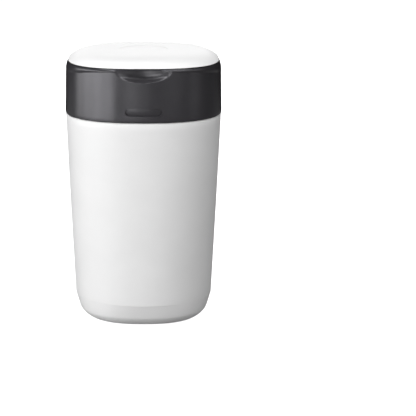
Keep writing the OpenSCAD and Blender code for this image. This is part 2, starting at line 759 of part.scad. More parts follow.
module grip_holes(z) {
    for (turn = [22.5:60:359])
        rotate([0, 0, turn]) translate([mouth_r + grip_w - 4.5, 0, z - over])
            cylinder(r = small_r, h = floor_t + 2 * over);
}

module cutter_holes(z) {
    for (side = [-1, 1])
        translate([side * (guard_w / 2 - cutter_ear), cutter_at.y + guard_h / 2, z - over])
            cylinder(r = small_r, h = floor_t + 2 * over);
}

module scoop_body(grow) {
    reach = scoop_arc - scoop_r;
    translate([0, scoop_y, rim_z]) rotate([0, 90, 0]) rotate_extrude() intersection() {
        translate([-reach, 0]) circle(r = scoop_arc + grow);
        translate([0, -scoop_w]) square([scoop_r + grow, 2 * scoop_w]);
    }
}

module pill(w, h, y_front, y_back) {
    translate([0, -y_back, pill_z]) rotate([90, 0, 0]) linear_extrude(y_front - y_back) {
        square([w - h, h], center = true);
        for (side = [-1, 1]) translate([side * (w - h) / 2, 0]) circle(d = h);
    }
}

module coil(r, wire, length, turns) {
    steps = 14;
    sides = 6;
    count = turns * steps;
    points = [for (i = [0:count], k = [0:sides - 1])
        let (turn = i * 360 / steps, out = r - wire / 2 + wire / 2 * cos(k * 360 / sides))
        [out * cos(turn), out * sin(turn),
            mix(wire / 2, length - wire / 2, i / count) + wire / 2 * sin(k * 360 / sides)]];
    polyhedron(points, concat(
        [for (i = [0:count - 1], k = [0:sides - 1]) let (j = (k + 1) % sides, a = i * sides, b = a + sides)
            each [[a + k, b + k, a + j], [a + j, b + k, b + j]]],
        [[for (k = [0:sides - 1]) k]], [[for (k = [sides - 1:-1:0]) count * sides + k]]));
}

tub();
collar_hinge_pin();
collar();
deck();
deck_screws();
cassette_well();
well_screws();
lid_hinge_pin();
grip_fingers();
grip_clamp();
grip_screws();
cutter_guard();
cutter_blade();
cutter_screws();
lid_shell();
lid_liner();
lid_seal();
twist_ring();
cassette_body();
cassette_sleeve();
cassette_cover();
film_pack();
latch_button();
latch_spring();
click_pawl();
pawl_screw();
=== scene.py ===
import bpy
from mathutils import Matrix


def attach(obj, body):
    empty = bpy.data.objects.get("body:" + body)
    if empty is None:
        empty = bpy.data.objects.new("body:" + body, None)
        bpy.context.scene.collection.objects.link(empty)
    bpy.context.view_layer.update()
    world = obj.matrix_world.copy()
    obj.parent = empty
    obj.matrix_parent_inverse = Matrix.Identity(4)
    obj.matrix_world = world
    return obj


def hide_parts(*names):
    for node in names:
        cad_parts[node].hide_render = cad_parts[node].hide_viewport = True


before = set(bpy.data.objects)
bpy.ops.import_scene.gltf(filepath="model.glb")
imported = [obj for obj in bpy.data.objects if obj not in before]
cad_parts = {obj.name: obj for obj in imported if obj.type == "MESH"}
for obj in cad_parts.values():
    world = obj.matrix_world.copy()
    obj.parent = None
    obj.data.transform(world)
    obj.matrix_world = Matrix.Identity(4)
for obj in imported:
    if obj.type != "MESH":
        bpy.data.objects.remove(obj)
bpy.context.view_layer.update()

import math

import bpy
from mathutils import Vector

mm = 0.001

# Everything stands as in the CAD: front towards -Y, the floor at z 0, sizes in mm


def clearSelection():
    if bpy.context.object and bpy.context.object.mode != "OBJECT":
        bpy.ops.object.mode_set(mode="OBJECT")
    bpy.ops.object.select_all(action="DESELECT")


def pick(piece):
    clearSelection()
    piece.select_set(True)
    bpy.context.view_layer.objects.active = piece


def applyPlace(piece):
    pick(piece)
    bpy.ops.object.transform_apply(location=True, rotation=True, scale=True)


def takeNew(name):
    # names the primitive just added and moves its place into its mesh
    piece = bpy.context.object
    piece.name = name
    applyPlace(piece)
    return piece


def editAll():
    bpy.ops.object.mode_set(mode="EDIT")
    bpy.ops.mesh.select_all(action="SELECT")


def outwards():
    # turns all faces of the mesh in hand outwards and leaves edit mode
    bpy.ops.mesh.select_all(action="SELECT")
    bpy.ops.mesh.normals_make_consistent(inside=False)
    bpy.ops.object.mode_set(mode="OBJECT")


def values(sizes, names):
    return [sizes[name] for name in names.split()]


def applyModifier(piece, kind, **settings):
    pick(piece)
    change = piece.modifiers.new(kind.lower(), kind)
    for key, value in settings.items():
        setattr(change, key, value)
    bpy.ops.object.modifier_apply(modifier=change.name)


def roundEdges(piece, width, segments=3, **settings):
    applyModifier(piece, "BEVEL", width=width * mm, segments=segments, limit_method="ANGLE", **settings)


def turnProfile(name, profile, steps=144):
    # draws the section as a chain of points in the XZ plane and spins it round Z;
    # steps: how many in the whole turn, or a list of (angle, steps) from +X by way of the front
    sectors = ((360, steps),) if isinstance(steps, int) else steps
    clearSelection()
    bpy.ops.mesh.primitive_plane_add(size=mm)
    piece = bpy.context.object
    piece.name = name
    bpy.ops.object.mode_set(mode="EDIT")
    bpy.ops.mesh.select_mode(type="VERT")
    bpy.ops.mesh.select_all(action="SELECT")
    bpy.ops.mesh.merge(type="CENTER")
    bpy.ops.transform.translate(value=(profile[0][0] * mm, 0, profile[0][1] * mm))
    for here, there in zip(profile, profile[1:]):
        step = ((there[0] - here[0]) * mm, 0, (there[1] - here[1]) * mm)
        bpy.ops.mesh.extrude_region_move(TRANSFORM_OT_translate={"value": step})
    bpy.ops.mesh.select_all(action="SELECT")
    for angle, count in sectors:
        bpy.ops.mesh.spin(steps=count, angle=math.radians(angle), center=(0, 0, 0), axis=(0, 0, 1))
    bpy.ops.mesh.select_all(action="SELECT")
    bpy.ops.mesh.remove_doubles(threshold=0.01 * mm)
    outwards()
    return piece


def squareOff(turn, square):
    return (abs(math.cos(turn)) ** square + abs(math.sin(turn)) ** square) ** (-1 / square)


def squarePlan(piece, squareAt):
    # pulls the round plan out to a rounded square; squareAt gives the squareness at a radius and height
    for v in piece.data.vertices:
        radius = math.hypot(v.co.x, v.co.y)
        if radius > 1e-6:
            grow = squareOff(math.atan2(v.co.y, v.co.x), squareAt(radius / mm, v.co.z / mm))
            v.co.x *= grow
            v.co.y *= grow
    piece.data.update()


def block(name, low, high, edge=0.0):
    clearSelection()
    size = [(b - a) * mm for a, b in zip(low, high)]
    middle = [(a + b) / 2 * mm for a, b in zip(low, high)]
    bpy.ops.mesh.primitive_cube_add(size=1, location=middle, scale=size)
    piece = takeNew(name)
    if edge:
        roundEdges(piece, edge)
    return piece


def rodAlongX(name, x, y, z, radius, width, bore=0.0):
    clearSelection()
    bpy.ops.mesh.primitive_cylinder_add(vertices=64, radius=radius * mm, depth=width * mm,
        end_fill_type="NOTHING" if bore else "NGON",
        location=(x * mm, y * mm, z * mm), rotation=(0, math.pi / 2, 0))
    piece = takeNew(name)
    if bore:
        applyModifier(piece, "SOLIDIFY", thickness=(radius - bore) * mm, offset=-1)
    return piece


def carve(piece, tool, how="DIFFERENCE"):
    applyModifier(piece, "BOOLEAN", object=tool, operation=how, solver="EXACT")
    bpy.data.objects.remove(tool)


def joinTo(piece, others):
    pick(piece)
    for other in others:
        other.select_set(True)
    bpy.ops.object.join()


def copyPiece(piece, name):
    twin = piece.copy()
    twin.data = piece.data.copy()
    twin.name = name
    bpy.context.scene.collection.objects.link(twin)
    return twin


def turnPiece(piece, angle, axis="Z"):
    pick(piece)
    editAll()
    bpy.ops.transform.rotate(value=-math.radians(angle), orient_axis=axis, center_override=(0, 0, 0))
    bpy.ops.object.mode_set(mode="OBJECT")


def spread(piece, count, first=0.0):
    # copies a piece round the axis and joins the copies to it
    copies = [copyPiece(piece, piece.name) for i in range(count - 1)]
    for i, copy in enumerate(copies):
        turnPiece(copy, 360 * (i + 1) / count)
    joinTo(piece, copies)
    if first:
        turnPiece(piece, first)
    return piece


def shiftPiece(piece, x, y, z=0):
    piece.location = (x * mm, y * mm, z * mm)
    applyPlace(piece)
    return piece


def plug(radius, low, high):
    # the section of a plain round tool
    return [(0, low), (radius, low), (radius, high), (0, high)]


def ringOf(radius, z, count, first):
    turns = [math.radians(first + 360 * i / count) for i in range(count)]
    return [(radius * math.cos(t), radius * math.sin(t), z) for t in turns]


def hexColour(code):
    parts = [int(code[i:i + 2], 16) / 255 for i in (1, 3, 5)]
    return [c / 12.92 if c <= 0.04045 else ((c + 0.055) / 1.055) ** 2.4 for c in parts] + [1.0]


def addNode(tree, kind, sockets=None, **settings):
    # sockets: input name -> a value, or (node, output) to link from
    made = tree.nodes.new(kind)
    for key, value in settings.items():
        setattr(made, key, value)
    for key, value in (sockets or {}).items():
        if isinstance(value, tuple) and hasattr(value[0], "outputs"):
            tree.links.new(value[0].outputs[value[1]], made.inputs[key])
        else:
            made.inputs[key].default_value = value
    return made


def startMaterial(name, **constants):
    material = bpy.data.materials.new(name)
    material.use_nodes = True
    tree = material.node_tree
    surface = tree.nodes["Principled BSDF"]
    for key, value in constants.items():
        surface.inputs[key.replace("_", " ")].default_value = value
    return material, tree, surface


def layFinish(tree, surface, cloud, tones, ends, grain, rough, span, strength, depth, gloss=None):
    # cloud tints the surface between two tones, grain dents it (depth in mm), and gloss, or else the cloud, runs the
    # roughness from lowest to highest over its span
    tone = addNode(tree, "ShaderNodeValToRGB", {"Fac": cloud}, label="tones")
    for element, end, code in zip(tone.color_ramp.elements, ends, tones):
        element.position, element.color = end, hexColour(code)
    sheen = addNode(tree, "ShaderNodeMapRange", {"Value": gloss or cloud, "From Min": span[0], "From Max": span[1],
        "To Min": rough[0], "To Max": rough[1]}, label="gloss")
    dents = addNode(tree, "ShaderNodeBump", {"Height": grain, "Strength": strength, "Distance": depth * mm},
        label="dents")
    for made, output, socket in ((tone, "Color", "Base Color"), (sheen, "Result", "Roughness"),
            (dents, "Normal", "Normal")):
        tree.links.new(made.outputs[output], surface.inputs[socket])


def mouldedPlastic(name, tones, rough, ior, grain, grainDepth, mottle, tint=(1, 1, 1, 1)):
    # tones: darker and lighter colour; grain, mottle: pattern sizes in mm; rough: lowest and highest
    material, tree, surface = startMaterial(name, IOR=ior, Specular_Tint=tint)
    place = addNode(tree, "ShaderNodeTexCoord")
    cloud = addNode(tree, "ShaderNodeTexNoise", {
        "Vector": (place, "Object"), "Scale": 1 / (mottle * mm), "Detail": 3.0, "Roughness": 0.55}, label="mottle")
    fine = addNode(tree, "ShaderNodeTexNoise", {
        "Vector": (place, "Object"), "Scale": 1 / (grain * mm), "Detail": 2.0}, label="grain")
    layFinish(tree, surface, (cloud, "Fac"), tones, (0.3, 0.7), (fine, "Fac"), rough, (0.3, 0.7), 0.35, grainDepth)
    return material


# Polypropylene from a lightly polished tool: satin, bright, with a faint cloudiness in the gloss
whitePolypropylene = mouldedPlastic("moulded_white_polypropylene", ("#f1f1f1", "#f4f4f4"), (0.44, 0.50), 1.49,
    0.9, 0.012, 60)
# ABS from a spark-eroded tool: a fine even grain breaks the highlights into a soft sheen; the specular tint paints a
# cool blue cast onto the highlights in place of cool light from the left
charcoalAbs = mouldedPlastic("moulded_charcoal_abs", ("#323134", "#363538"), (0.28, 0.32), 1.53, 0.7, 0.02, 45,
    (0.96, 0.95, 1.0, 1))
# ABS of the working parts: the same grain, darker and duller
blackAbs = mouldedPlastic("moulded_black_abs", ("#222226", "#2a2a2e"), (0.42, 0.52), 1.53, 0.7, 0.04, 35)
# Acetal ring and pawl: a waxy slippery grey
greyAcetal = mouldedPlastic("moulded_grey_acetal", ("#85878c", "#92949a"), (0.26, 0.34), 1.48, 0.8, 0.01, 40)


def rubberSkin(name, tones, rough, grain, grainDepth):
    # thermoplastic rubber: dull, with a fine sprayed grain and dusty high spots
    material, tree, surface = startMaterial(name, IOR=1.52, Sheen_Weight=0.15, Sheen_Roughness=0.5)
    place = addNode(tree, "ShaderNodeTexCoord")
    grit = addNode(tree, "ShaderNodeTexVoronoi", {"Vector": (place, "Object"), "Scale": 1 / (grain * mm)}, label="grit")
    cloud = addNode(tree, "ShaderNodeTexNoise", {
        "Vector": (place, "Object"), "Scale": 1 / (18 * mm), "Detail": 4.0}, label="dust")
    layFinish(tree, surface, (cloud, "Fac"), tones, (0, 1), (grit, "Distance"), rough, (0, 1), 0.4, grainDepth,
        (grit, "Distance"))
    return material


def drawnSteel(name, tones, rough, lines):
    # zinc-plated steel: metal with fine drawing lines along X and faint blue-grey cloudiness
    material, tree, surface = startMaterial(name, Metallic=1.0, Anisotropic=0.3)
    place = addNode(tree, "ShaderNodeTexCoord")
    stretch = addNode(tree, "ShaderNodeMapping", {"Vector": (place, "Object"), "Scale": (0.04, 1, 1)})
    streak = addNode(tree, "ShaderNodeTexNoise", {
        "Vector": (stretch, "Vector"), "Scale": 1 / (lines * mm), "Detail": 2.0}, label="drawing lines")
    cloud = addNode(tree, "ShaderNodeTexNoise", {
        "Vector": (place, "Object"), "Scale": 1 / (5 * mm), "Detail": 2.0}, label="plating")
    layFinish(tree, surface, (cloud, "Fac"), tones, (0, 1), (streak, "Fac"), rough, (0, 1), 0.2, 0.01, (streak, "Fac"))
    return material


def foldedFilm(name, tones, rough):
    # thin polythene in many folds: pale blue, brighter where layers stand on edge, with fine crinkles
    material, tree, surface = startMaterial(name, IOR=1.51, Subsurface_Weight=0.25, Subsurface_Scale=2 * mm)
    place = addNode(tree, "ShaderNodeTexCoord")
    crinkle = addNode(tree, "ShaderNodeTexNoise", {"Vector": (place, "Object"), "Scale": 1 / (3.5 * mm),
        "Detail": 5.0, "Roughness": 0.65, "Distortion": 1.2}, label="crinkles")
    layFinish(tree, surface, (crinkle, "Fac"), tones, (0.35, 0.65), (crinkle, "Fac"), rough, (0, 1), 0.5, 0.25)
    return material


# Thermoplastic rubber of the grip fingers and the seal
softRubber = rubberSkin("soft_black_rubber", ("#1e1e20", "#29292b"), (0.55, 0.72), 0.5, 0.03)
# Zinc-plated screws and pins, ground blade, spring wire
platedSteel = drawnSteel("zinc_plated_steel", ("#b4b8be", "#c9ccd0"), (0.22, 0.36), 0.25)
# Polythene film of the cassette
pleatedFilm = foldedFilm("pale_blue_film", ("#9fc6d6", "#dcebf1"), (0.22, 0.40))

# The stage: camera, floor, lights
stage = {
    "lens": 190.4, "eye": (0.0, -3.531, 0.948), "pitch": 77.67, "shiftX": 0.155,
    "floorWidth": 9.0, "floorTone": "#fafafa", "floorGlow": 1.0, "aim": (0, 0, 0.28), "lowAim": (0, 0, 0.26),
}
# softboxes: place, width, height in metres, watts; floor_sheet is the floor's bounce, the fills give no glints
boxes = {
    "top_left": ((-0.986, -0.569, 2.838), 1.0, 1.0, 23.0),
    "top_right": ((0.986, -0.569, 2.838), 1.0, 1.0, 16.5),
    "top_middle": ((0, -0.569, 2.838), 1.0, 1.0, 14.0),
    "high_front": ((-0.870, -2.391, 1.870), 1.0, 1.0, 19.9),
    "high_right": ((1.949, -1.635, 1.870), 1.0, 1.0, 11.1),
    "rear": ((0, 2.898, 1.056), 1.4, 1.0, 11.1),
    "front_left": ((-0.519, -2.943, 0.618), 0.8, 1.2, 12.7),
    "front_right": ((1.485, -2.573, 0.698), 1.6, 1.2, 5.9),
    "right": ((2.792, -1.016, 0.698), 1.2, 1.2, 5.5),
    "side_strip_a": ((-1.414, -1.685, 0.26), 0.7, 0.45, 8.2),
    "side_strip_b": ((-1.905, -1.1, 0.26), 0.7, 0.45, 9.4),
    "side_strip_c": ((-2.167, -0.382, 0.26), 0.7, 0.45, 7.1),
    "side_strip_d": ((-2.167, 0.382, 0.26), 0.7, 0.45, 4.1),
    "floor_sheet": ((0, 0, 0.002), 3.5, 3.5, 6.5),
    "fill_right": ((2.276, 1.910, 0.70), 1.5, 1.2, 8.0),
    "fill_rear": ((-0.516, 2.925, 0.70), 1.5, 1.2, 14.0),
}


def buildStage():
    scene = bpy.context.scene
    scene.view_settings.view_transform = "Standard"
    clearSelection()
    bpy.ops.object.camera_add(location=stage["eye"], rotation=(math.radians(stage["pitch"]), 0, 0))
    scene.camera = eye = bpy.context.object
    eye.name = "camera"
    eye.data.sensor_width, eye.data.lens = 36, stage["lens"]
    eye.data.shift_x = stage["shiftX"]
    eye.data.clip_end = 50
    bpy.ops.mesh.primitive_grid_add(x_subdivisions=4, y_subdivisions=4, size=stage["floorWidth"],
        location=(0, 0, -0.3 * mm))
    floor = takeNew("floor")
    floor.visible_diffuse = False
    floor.visible_glossy = False
    sweep = startMaterial("pale_paper_sweep", Roughness=0.8, Base_Color=hexColour(stage["floorTone"]),
        Emission_Color=(1, 1, 1, 1), Emission_Strength=stage["floorGlow"])[0]
    floor.data.materials.append(sweep)
    world = bpy.data.worlds.new("white_surround")
    scene.world = world
    world.use_nodes = True
    surround = world.node_tree.nodes["Background"]
    surround.inputs["Color"].default_value = (1, 1, 1, 1)
    surround.inputs["Strength"].default_value = 1.0
    for rays in ("diffuse", "glossy", "transmission"):  # only the camera sees the white surround: it adds no light
        setattr(world.cycles_visibility, rays, False)
    for name, (place, width, height, watts) in boxes.items():
        bpy.ops.object.light_add(type="AREA", location=place)
        lamp = bpy.context.object
        lamp.name = name
        lamp.data.shape = "RECTANGLE"
        lamp.data.size, lamp.data.size_y = width, height
        lamp.data.energy = watts
        lamp.visible_camera = False
        lamp.visible_glossy = not name.startswith("fill")
        aim = stage["lowAim"] if name.startswith("side") else stage["aim"]
        if name == "floor_sheet":
            aim = (0, 0, 1)
        lamp.rotation_euler = (Vector(aim) - Vector(place)).to_track_quat("-Z", "Y").to_euler()


buildStage()
print("stage ready")

# The tub: one deep moulding, round at the crease and squarer at the shoulder
tub = {
    "foot": 73.0, "footRim": 9, "hollow": 3.0, "crease": 111.25, "creaseZ": 38.0, "creaseStep": 0.7,
    "bend": (105.0, 17.4), "windowHalf": 10.8, "windowIn": 106.7, "windowLow": 341.1, "windowTop": 346.3,
    "shoulder": 125.9, "shoulderZ": 339.0, "bow": 0.4, "wall": 2.6, "spigot": 123.3, "spigotIn": 120.9,
    "spigotTop": 348.0, "pocketY": 111.8, "pocketX": 50.6, "pocketZ": 332.9, "pocketWall": 2.6,
    "hingeY": 119.8, "hingeZ": 339.7, "barrel": 5.5, "bore": 2.55, "barrelMiddle": 31.6, "barrelWidth": 22,
    "footSquare": 2.5, "creaseSquare": 2.11, "shoulderSquare": 2.34,
}


def mix(a, b, share):
    return a + (b - a) * share


def tubWall(share, inset):
    bow = 4 * tub["bow"] * share * (1 - share)
    return mix(tub["crease"], tub["shoulder"], share) + bow - inset, mix(tub["creaseZ"], tub["shoulderZ"], share)


def tubFoot(degrees, low, high, lowZ, highZ):
    turn = math.radians(degrees)
    return mix(low, high, math.sin(turn)), mix(lowZ, highZ, 1 - math.cos(turn))


def bentLine(start, bend, end, share):
    # a place on the curve that leaves start towards bend and arrives at end from it
    return tuple(mix(mix(a, b, share), mix(b, c, share), share) for a, b, c in zip(start, bend, end))


def tubSquare(radius, z):
    if z < tub["creaseZ"]:
        return mix(tub["footSquare"], tub["creaseSquare"], z / tub["creaseZ"])
    share = min(1, (z - tub["creaseZ"]) / (tub["shoulderZ"] - tub["creaseZ"]))
    return mix(tub["creaseSquare"], tub["shoulderSquare"], share)


def buildTub():
    foot, hollow, crease, creaseZ, wall = values(tub, "foot hollow crease creaseZ wall")
    shoulder, shoulderZ, spigot, spigotIn, spigotTop = values(tub, "shoulder shoulderZ spigot spigotIn spigotTop")
    inner = foot - tub["footRim"]
    section = [(0, hollow), (inner - 1, hollow), (inner, hollow - 0.8), (inner, 0.6), (inner + 0.6, 0), (foot - 3, 0)]
    section += [tubFoot(t, foot, crease - tub["creaseStep"], 0, creaseZ - 1.0) for t in range(0, 55, 6)]
    start = section[-1]
    section += [bentLine(start, tub["bend"], (crease - 0.3, creaseZ - 0.4), s)
        for s in (0.1, 0.22, 0.36, 0.54, 0.76, 0.98)]
    section += [(crease - 0.25, creaseZ - 0.2), (crease - 0.05, creaseZ), (crease, creaseZ + 0.4)]
    section += [tubWall(s / 24, 0) for s in range(1, 24)]
    section += [(shoulder, shoulderZ - 1.1), (shoulder - 0.35, shoulderZ - 0.3), (shoulder - 1.0, shoulderZ),
        (spigot + 0.3, shoulderZ), (spigot, shoulderZ + 0.3), (spigot, spigotTop - 0.6), (spigot - 0.6, spigotTop),
        (spigotIn + 0.5, spigotTop), (spigotIn, spigotTop - 0.5), (spigotIn, shoulderZ - 6)]
    section += [tubWall(s / 24, wall) for s in range(22, -1, -1)]
    section += [tubFoot(t, inner, crease - wall, hollow + wall, creaseZ) for t in range(84, -1, -12)]
    piece = turnProfile("tub_shell", section + [(0, hollow + wall)], 180)
    squarePlan(piece, tubSquare)
    # hinge pocket at the back: a box fused to the wall, then hollowed and opened to the rear
    wide, front, low, wall = values(tub, "pocketX pocketY pocketZ pocketWall")
    box = block("pocket", (-wide - wall, front - wall, low - wall), (wide + wall, 140, spigotTop - 0.02))
    plan = turnProfile("plan", plug(spigotIn + 0.5, 320, 360))
    squarePlan(plan, lambda radius, z: tub["shoulderSquare"])
    carve(box, plan, "INTERSECT")
    carve(piece, box, "UNION")
    carve(piece, block("hollow", (-wide, front, low), (wide, 140, 360)))
    # window for the catch's hook, in the front of the spigot
    half, back, windowLow, windowTop = values(tub, "windowHalf windowIn windowLow windowTop")
    carve(piece, block("window", (-half, -130, windowLow), (half, -back, windowTop)))
    y, z, barrel, bore, middle, width = values(tub, "hingeY hingeZ barrel bore barrelMiddle barrelWidth")
    half = width / 2
    for x in (-middle, middle):
        web = block("web", (x - half, front + 4.5, low - 1), (x + half, front + 8.5, z))
        carve(web, rodAlongX("bore", x, y, z, barrel - 0.6, 30))
        joinTo(piece, [web, rodAlongX("knuckle", x, y, z, barrel, width, bore)])
    return piece


def dress(piece, material):
    piece.data.materials.clear()
    piece.data.materials.append(material)


def finish(piece, material, body, node, angle=32):
    dress(piece, material)
    pick(piece)
    bpy.ops.object.shade_smooth_by_angle(angle=math.radians(angle))
    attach(piece, body)
    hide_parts(node)


tubShell = buildTub()
finish(tubShell, whitePolypropylene, "tub_body", "tub")
print("tub ready", len(tubShell.data.polygons))

# The collar: the upper housing, with the finger scoop, the sunken pill and both hinges
collar = {
    "low": 339.7, "rim": 424.6, "half": 126.7, "topHalf": 125.7, "roundW": 6.2, "roundH": 15.4, "rimHalf": 119.5,
    "lipIn": 118.5, "ledge": 113.2, "ledgeZ": 417.2, "ledgeT": 2.5, "inner": 123.9, "innerTop": 122.9,
    "square": 2.34, "lidSquare": 2.73, "pillW": 58, "pillH": 12, "pillZ": 356.7,
    "bossAt": 123.4, "bossLow": 395.8, "bossR": 5, "bossWall": 3.25, "bossH": 20.4,
    "roundFrom": 393, "frontW": 5.4, "frontH": 4.2, "frontFall": 0.155, "frontPower": 1.43,
    "notchX": 50.6, "notchTop": 347.6, "lidNotchX": 44.2, "barrelHalf": 20, "lidHingeY": 119.9, "lidHingeZ": 422.2,
    "lidBarrel": 4.2, "lidBore": 1.85, "lidBarrelX": 31.6, "lidBarrelW": 22, "hingeWide": 88.4,
}
scoop = {
    "width": 89, "height": 20.8, "depth": 14.0, "upright": 2.7, "tipFace": 120.9, "wall": 2.0, "lip": 3.0, "top": 421.8,
    "topFrom": 419,
}
bowl = scoop["height"]
for step in range(40):  # radius of the section whose mouth is as tall as the scoop
    bowl = ((bowl - scoop["depth"]) ** scoop["upright"] + scoop["height"] ** scoop["upright"]) ** (1 / scoop["upright"])
sag = scoop["depth"] - collar["topHalf"] + scoop["tipFace"]
arc = (scoop["width"] ** 2 / 4 + sag ** 2) / (2 * sag)
bowlAxis = -(collar["topHalf"] + bowl - scoop["depth"])
roundLow = collar["rim"] - collar["roundH"]


def bowlFace(x, z):
    # y of the scoop's bowl at a place on the front; far in front where there is no bowl
    reach = math.sqrt(max(0, arc ** 2 - x ** 2)) - arc + bowl
    rise, power = abs(z - collar["rim"]), scoop["upright"]
    return bowlAxis + (reach ** power - rise ** power) ** (1 / power) if reach > rise else bowlAxis


def softMax(a, b, k):
    h = max(k - abs(a - b), 0) / k
    return max(a, b) + h * h * k / 4


def tightenRound(x, y, z):
    # the round over the shoulder is tall and full at the sides, low and nearly a chamfer at the front
    low, rim, top, tall, full, front = values(collar, "roundFrom rim topHalf roundH roundW frontH")
    height = -softMax(-tall, -front - collar["frontFall"] * (top + y), 3)
    if z < roundLow:
        return x, y, mix(low, rim - height, (z - low) / (roundLow - low))
    side = min(1, max(0, (height - front) / (tall - front)))
    wide, power = mix(collar["frontW"], full, side), mix(collar["frontPower"], 1, side)
    rise = min(1, max(0, 1 - (rim - z) / tall))
    out = math.sqrt(1 - rise * rise)
    grow = (top - wide * (1 - out ** power)) / (top - full * (1 - out))
    return x * grow, y * grow, rim - height * (1 - rise ** power)


def collarSkin(z):
    # half width of the collar's outside at a height
    if z <= roundLow:
        return mix(collar["half"], collar["topHalf"], (z - collar["low"]) / (roundLow - collar["low"]))
    rise = min(1, (z - roundLow) / collar["roundH"])
    return collar["rimHalf"] + collar["roundW"] * math.sqrt(1 - rise * rise)


def collarSquare(radius, z):
    low, high = collar["square"], collar["lidSquare"]
    if radius > collar["innerTop"] - 0.6 and z < collar["ledgeZ"] - collar["ledgeT"] + 0.1 or z < roundLow:
        if radius < collarSkin(z) - 0.1 or z < roundLow:
            return low
    if radius < collar["rimHalf"] + 0.01 and z > collar["ledgeZ"] - 0.1:
        return high
    if z < collar["ledgeZ"] - 0.1 and radius < collarSkin(z) - 0.1:
        return mix(high, low, (radius - collar["ledge"]) / (collar["innerTop"] - collar["ledge"]))
    turn = math.degrees(math.asin(min(1, (z - roundLow) / collar["roundH"])))
    return mix(low, high, turn / 90)


def pressScoop(piece, flat):
    # flat: each vertex's section radius, from before the plan was squared
    for v, radius in zip(piece.data.vertices, flat):
        x, y, z = v.co.x / mm, v.co.y / mm, v.co.z / mm
        if z < collar["roundFrom"]:
            continue
        outer = radius > collarSkin(z) - 0.05 and radius > collar["rimHalf"] - 0.01
        if outer:
            x, y, z = tightenRound(x, y, z)
            v.co = (x * mm, y * mm, z * mm)
        if y > -100 or abs(x) > 62:
            continue
        share = min(1, max(0, bowlFace(x, z) - y) / 6)
        share = share * share * (3 - 2 * share)
        base = scoop["topFrom"]
        if z > base:  # the rim dips over the scoop
            z = mix(z, base + (z - base) * (scoop["top"] - base) / (collar["rim"] - base), share)
        face = bowlFace(x, z)
        if outer:
            y = softMax(y, face, scoop["lip"])
        else:
            along = min(1, max(0, collar["rimHalf"] - radius)) if z > base else 1
            y = max(y, face + scoop["wall"] * along + max(0, collar["lipIn"] - radius) * 0.02)
        v.co.y, v.co.z = y * mm, z * mm
    piece.data.update()


def pillPrism(name, width, height, z, near, far, spokes=40):
    # a stadium outline: a circle whose halves are pulled apart, then extruded back
    clearSelection()
    bpy.ops.mesh.primitive_circle_add(vertices=spokes, radius=height / 2 * mm, fill_type="NGON",
        location=(0, near * mm, z * mm), rotation=(math.pi / 2, 0, 0))
    piece = takeNew(name)
    pull = (width - height) / 2 * mm
    for v in piece.data.vertices:
        if abs(v.co.x) > 1e-6:
            v.co.x += math.copysign(pull, v.co.x)
    editAll()
    bpy.ops.mesh.extrude_region_move(TRANSFORM_OT_translate={"value": (0, (far - near) * mm, 0)})
    outwards()
    return piece


